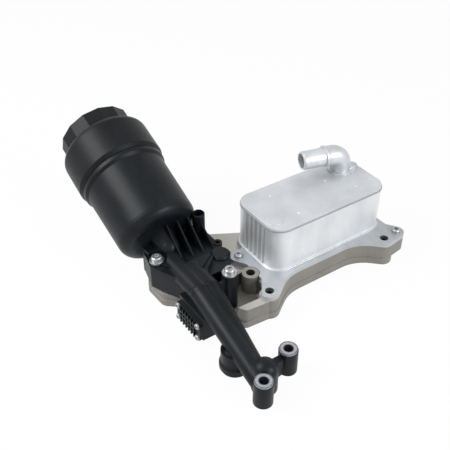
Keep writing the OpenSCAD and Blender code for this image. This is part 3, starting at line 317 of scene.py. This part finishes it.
def piece(name, shape, material, body):
    """Closes a new mesh and makes it a piece of the object, at the origin, riding on a body."""
    bmesh.ops.remove_doubles(shape, verts=shape.verts, dist=1e-6)
    bmesh.ops.recalc_face_normals(shape, faces=shape.faces)
    for face in shape.faces:
        face.smooth = True
    mesh = bpy.data.meshes.new(name)
    shape.to_mesh(mesh)
    shape.free()
    mesh.materials.append(material)
    made = bpy.data.objects.new(name, mesh)
    bpy.context.collection.objects.link(made)
    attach(made, body)
    return made


def widest(shape):
    """The face with the largest area."""
    return max(shape.faces, key=lambda face: face.calc_area())


def plain_normal(place):
    """The surface's own normal, for a piece without sharp edges."""
    return place.node("ShaderNodeNewGeometry", {}, out="Normal")


braze, spot = finish("braze_fillet", Metallic=0.6)
flow = spot.noise(260.0, detail=4.0)
flow.span(0.3, 0.7).between(tint(182, 185, 188), tint(212, 214, 217)).feed("Base Color")
(0.34 + 0.2 * flow).feed("Roughness")
relief(flow, 0.0002, plain_normal(spot))

fillet_length = lid_high.x - lid_low.x + 2 * (bead_out + fillet_reach)
fillet_width = lid_high.y - lid_low.y + 2 * (bead_out + fillet_reach)
foot = bmesh.new()
bmesh.ops.create_grid(foot, x_segments=1, y_segments=1, size=0.5)
bmesh.ops.scale(foot, verts=foot.verts, vec=(fillet_length, fillet_width, 1.0))
bmesh.ops.translate(foot, verts=foot.verts, vec=(0.0, 0.0, shell_low.z))
bmesh.ops.bevel(foot, geom=foot.verts[:], offset=shell_corner + bead_out + fillet_reach, segments=12,
                affect="VERTICES", profile=0.5, material=-1)
for width, rise in fillet_steps:
    bmesh.ops.inset_region(foot, faces=[widest(foot)], use_boundary=True, thickness=width, depth=rise)
bmesh.ops.delete(foot, geom=[widest(foot)], context="FACES")
bmesh.ops.solidify(foot, geom=foot.faces[:], thickness=fillet_wall)
ring = piece("shell_fillet", foot, braze, "housing")

# The coolant elbow: a cast aluminium hose elbow brazed on the lid. Its skin is finely blasted, and
# its edges are soft.
elbow, spot = finish("blasted_elbow", Metallic=0.6)
blast = spot.noise(2200.0, detail=2.0)
haze = spot.noise(70.0)
haze.span(0.3, 0.7).between(tint(192, 195, 199), tint(214, 217, 220)).feed("Base Color")
(0.3 + 0.22 * blast).feed("Roughness")
relief(blast * 0.6 + haze * 1.2, 0.00012, rounded_edges(spot, 0.0006))
wear("cooler_elbow", material=elbow)

# The seals: moulded rubber rings and gaskets between the parts that carry oil or coolant. They are
# black, with the faint dusty bloom of new rubber.
seal, spot = finish("seal_rubber", Specular_IOR_Level=0.35)
bloom = spot.noise(140.0, detail=4.0)
bloom.span(0.35, 0.75).between(tint(24, 24, 25), tint(44, 44, 46)).feed("Base Color")
(0.62 + 0.2 * bloom).feed("Roughness")
relief(spot.noise(1800.0, detail=2.0), 0.00008, rounded_edges(spot, 0.0003))
wear("cooler_seals", "housing_gasket", "port_seal", "cover_seal", "element_seal", "cap_o_ring",
     material=seal)

# The screws, their washers and the valve's retainer: cold-headed and pressed steel, zinc plated.
# Fine crystals show in the plating under a soft passivation haze.
zinc, spot = finish("zinc_plate", Metallic=0.85)
crystal = spot.noise(900.0)
haze = spot.noise(160.0)
haze.span(0.3, 0.7).between(tint(150, 154, 157), tint(192, 195, 196)).feed("Base Color")
(0.26 + 0.22 * crystal).feed("Roughness")
relief(crystal, 0.00008, rounded_edges(spot, 0.0003))
wear("cooler_screws", "housing_screws", "cover_screws", "bypass_retainer", material=zinc)

# The bolt sleeves: turned and plated steel tubes with flat heads, pressed into the plastic bosses. The lathe left
# fine rings on the heads. The rim of a head, the chamfer of its hole and the bore are painted darker as shade.
bore_edge = 0.0045
chamfer_edge = 0.0048
rim_from = 0.0071
lathe_ripple = 5200.0

turned, spot = finish("turned_sleeve", Metallic=0.7)
haze = spot.noise(220.0)
fleck = spot.noise(1500.0, detail=2.0)
reach = reach_from(spot, mounts_named("sleeve_bolt_"))
head = spot.facing().axis(2) > 0.9
rings = head * (reach * lathe_ripple).math("SINE")
edges = head * ((reach > rim_from) + (reach < chamfer_edge))
bore = (reach < bore_edge) * (1.0 - head)
metal = haze.span(0.3, 0.7).between(tint(152, 157, 166), tint(176, 181, 189))
# Painted shade: the head's rim, the ring round its hole and the bore are painted dark.
(edges * 0.75).math("MAXIMUM", bore).between(metal, tint(72, 75, 80)).feed("Base Color")
(0.32 + 0.2 * fleck).feed("Roughness")
relief(fleck * 0.5 + haze + rings * 0.5, 0.00008, rounded_edges(spot, 0.0004))
wear("bolt_sleeves", material=turned)

# The filter housing: one big moulding of glass-filled nylon with cup, neck, foot, fan ribs and
# coolant ducts, screwed down on a gasket. It is black and satin, with a fine spark-eroded grain,
# dim flow marks and soft edges.


def moulded(name, dark, pale, rough):
    """Glass-filled nylon: satin black with grain, flow marks and softened edges."""
    made, where = finish(name, Specular_IOR_Level=0.16)
    grain = where.noise(1500.0, detail=2.0)
    flow = where.stretched(1.0, 0.35, 1.0).noise(46.0, detail=4.0)
    flow.span(0.34, 0.7).between(dark, pale).feed("Base Color")
    (rough + 0.16 * grain + 0.12 * flow).feed("Roughness")
    relief(grain * 0.7 + flow * 0.5, 0.00009, rounded_edges(where, 0.0005))
    return made


housing = moulded("glass_filled_nylon", tint(20, 23, 26), tint(34, 38, 42), rough=0.24)
wear("filter_housing", material=housing)

# The neck's thread: one ridge of 4 mm pitch for the cap, moulded round the neck of the housing.
# Its profile is swept round the filter's axis, which is the one that the cap turns on.
neck_r = 0.0432
ridge_height = 0.00035
ridge_sunk = 0.00005
thread_pitch = 0.004
thread_turns = 6
thread_foot = 0.060
turn_steps = 64

cap_turn = next(joint for joint in frame["joints"] if joint["name"] == "cap_turn")
lean = atan2(cap_turn["axis"][1], cap_turn["axis"][2])
filter_axis = Matrix.Translation(cap_turn["pos_m"]) @ Matrix.Rotation(-lean, 4, "X")

ridge_profile = (
    (neck_r - ridge_sunk, 0.0),
    (neck_r + ridge_height, 0.15 * thread_pitch),
    (neck_r + ridge_height, 0.30 * thread_pitch),
    (neck_r - ridge_sunk, 0.45 * thread_pitch),
    (neck_r - ridge_height, 0.225 * thread_pitch),
)
thread = bmesh.new()
thread.faces.new([thread.verts.new((radius, 0.0, height)) for radius, height in ridge_profile])
bmesh.ops.spin(thread, geom=thread.faces[:] + thread.edges[:] + thread.verts[:], cent=(0, 0, 0),
               axis=(0, 0, 1), dvec=(0, 0, thread_pitch / turn_steps), angle=2 * pi * thread_turns,
               steps=thread_turns * turn_steps, use_merge=False)
bmesh.ops.translate(thread, verts=thread.verts, vec=(0, 0, thread_foot))
bmesh.ops.transform(thread, verts=thread.verts, matrix=filter_axis)
ridge = piece("neck_thread", thread, housing, "housing")

# The side cover: a small ribbed cover of the same nylon over the coolant passage, pressed on a
# seal by four plated screws. Its face is a shade greyer than the housing.
cover = moulded("cover_nylon", tint(23, 26, 28), tint(37, 41, 44), rough=0.28)
wear("side_cover", material=cover)

# The standpipe and the bypass poppet: the pipe that carries the filter element, and the
# spring-loaded valve in its end. Both are moulded in a stiffer, slightly brown-black plastic.
pipe = moulded("pipe_plastic", tint(30, 29, 28), tint(44, 42, 40), rough=0.34)
wear("stand_pipe", "bypass_poppet", material=pipe)

# The valve's spring: five turns of cold-coiled round wire, bright from the die. It stands round the poppet's stem.
wire_r = 0.0007
coil_r = 0.0054
coil_foot = 0.0612
coil_length = 0.014
coil_turns = 5
coil_steps = 32 * coil_turns

wire, spot = finish("spring_wire", Metallic=0.9)
die_marks = spot.noise(1200.0)
die_marks.span(0.3, 0.7).between(tint(150, 152, 155), tint(196, 198, 200)).feed("Base Color")
(0.22 + 0.2 * die_marks).feed("Roughness")
relief(die_marks, 0.00005, plain_normal(spot))

coil = bmesh.new()
wire_ring = bmesh.ops.create_circle(coil, cap_ends=False, radius=wire_r, segments=12)["verts"]
bmesh.ops.rotate(coil, verts=wire_ring, cent=(0, 0, 0), matrix=Matrix.Rotation(pi / 2, 3, "X"))
bmesh.ops.translate(coil, verts=wire_ring, vec=(coil_r, 0.0, wire_r))
bmesh.ops.spin(coil, geom=coil.edges[:], cent=(0, 0, 0), axis=(0, 0, 1),
               dvec=(0, 0, (coil_length - 2 * wire_r) / coil_steps), angle=2 * pi * coil_turns,
               steps=coil_steps, use_merge=False)
bmesh.ops.holes_fill(coil, edges=[edge for edge in coil.edges if edge.is_boundary], sides=12)
bmesh.ops.translate(coil, verts=coil.verts, vec=(0, 0, coil_foot))
bmesh.ops.transform(coil, verts=coil.verts, matrix=filter_axis)
spring = piece("valve_spring", coil, wire, "housing")
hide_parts("bypass_spring")
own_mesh(spring)

# The filter element: pleated cellulose paper glued between two moulded end caps over a slotted
# cage. The paper is cream with short fibres in it, the plastic a dull green.
paper, spot = finish("pleated_paper", Sheen_Weight=0.15)
fibre = spot.stretched(1.0, 1.0, 0.35).noise(1300.0, detail=4.0, rough=0.7)
age = spot.noise(60.0)
pulp = (0.5 * fibre + 0.5 * age).span(0.35, 0.65)
pulp.between(tint(214, 196, 142), tint(240, 226, 182)).feed("Base Color")
(0.72 + 0.2 * fibre).feed("Roughness")
relief(fibre, 0.00018, rounded_edges(spot, 0.0003))
wear("filter_media", material=paper)

cage, spot = finish("element_plastic", Specular_IOR_Level=0.5)
flow = spot.noise(60.0, detail=4.0)
grain = spot.noise(1500.0, detail=2.0)
flow.span(0.3, 0.7).between(tint(48, 80, 70), tint(66, 100, 88)).feed("Base Color")
(0.4 + 0.2 * grain).feed("Roughness")
relief(grain * 0.7 + flow, 0.00009, rounded_edges(spot, 0.0004))
wear("element_cage", "element_top_cap", "element_foot_cap", material=cage)

# The screw cap: moulded from the same nylon as the housing, a little darker and duller, with a
# collar of flats for the wrench. It screws on the neck over an O-ring.
cap = moulded("cap_nylon", tint(19, 22, 24), tint(32, 35, 38), rough=0.26)
wear("filter_cap", material=cap)

# The studio: a pale floor that fades to white for the camera, an even sky, two soft lamps, and
# the camera where the photograph was taken from.
floor_half = 3.0
floor_gap = 0.0003
floor_grey = 0.9
floor_fade = 0.96
sky_on_object = 0.31
white_paper = (1.0, 1.0, 1.0, 1.0)
aim = Vector((-0.06, -0.02, 0.04))
eye = (-0.3914, -0.4294, 0.4774)
ahead = Vector((0.4396, 0.6592, -0.6101)).normalized()
right = Vector((0.832, -0.5548, 0.0)).normalized()
roll = radians(-0.33)
film_width, focal_length = 36.0, 56.0


def backdrop_rays(tree):
    """1 for the rays that see the backdrop: the camera's own, and those off or through a surface."""
    start = Wire(tree)
    direct, mirrored, through = [start.node("ShaderNodeLightPath", {}, out=kind) for kind in (
        "Is Camera Ray", "Is Glossy Ray", "Is Transmission Ray")]
    return direct + mirrored + through


def lamp(name, place, size, power):
    """A soft square lamp that looks at the cooler."""
    light = bpy.data.lights.new(name, "AREA")
    light.size, light.energy = size, power
    made = bpy.data.objects.new(name, light)
    made.location = place
    made.rotation_euler = (aim - Vector(place)).to_track_quat("-Z", "Y").to_euler()
    bpy.context.collection.objects.link(made)


floor_shape = bmesh.new()
bmesh.ops.create_grid(floor_shape, x_segments=8, y_segments=8, size=floor_half)
bmesh.ops.translate(floor_shape, verts=floor_shape.verts, vec=(0.0, 0.0, cad_box[0][2] - floor_gap))
floor_mesh = bpy.data.meshes.new("floor")
floor_shape.to_mesh(floor_mesh)
floor_shape.free()
floor = bpy.data.objects.new("floor", floor_mesh)
bpy.context.collection.objects.link(floor)

ground = bpy.data.materials.new("pale_floor")
ground.use_nodes = True
tree = ground.node_tree
paint = tree.nodes["Principled BSDF"]
paint.inputs["Base Color"].default_value = (floor_grey, floor_grey, floor_grey, 1.0)
paint.inputs["Roughness"].default_value = 0.9
fade = backdrop_rays(tree) * floor_fade
white = fade.node("ShaderNodeEmission", {"Color": white_paper, "Strength": 1.0})
faded = fade.node("ShaderNodeMixShader", {0: fade, 1: Wire(tree, paint.outputs[0]), 2: white})
tree.links.new(faded.port, tree.nodes["Material Output"].inputs["Surface"])
floor_mesh.materials.append(ground)

sky = bpy.data.worlds.new("studio")
sky.use_nodes = True
bpy.context.scene.world = sky
tree = sky.node_tree
strength = backdrop_rays(tree).span(0.0, 1.0, sky_on_object, 1.0)
tree.links.new(strength.port, tree.nodes["Background"].inputs["Strength"])
tree.nodes["Background"].inputs["Color"].default_value = white_paper

lamp("window", (-0.82, 0.39, 0.88), size=0.6, power=10.3)
lamp("front", (0.30, -1.02, 0.57), size=0.45, power=7.5)

above = right.cross(ahead)
side = cos(roll) * right + sin(roll) * above
top = cos(roll) * above - sin(roll) * right
turn = Matrix((side, top, -ahead)).transposed().to_4x4()
camera = bpy.data.objects.new("camera", bpy.data.cameras.new("camera"))
camera.data.sensor_width, camera.data.lens = film_width, focal_length
camera.data.clip_start = 0.01
camera.matrix_world = Matrix.Translation(eye) @ turn
bpy.context.collection.objects.link(camera)
bpy.context.scene.camera = camera
bpy.context.scene.view_settings.view_transform = "Standard"
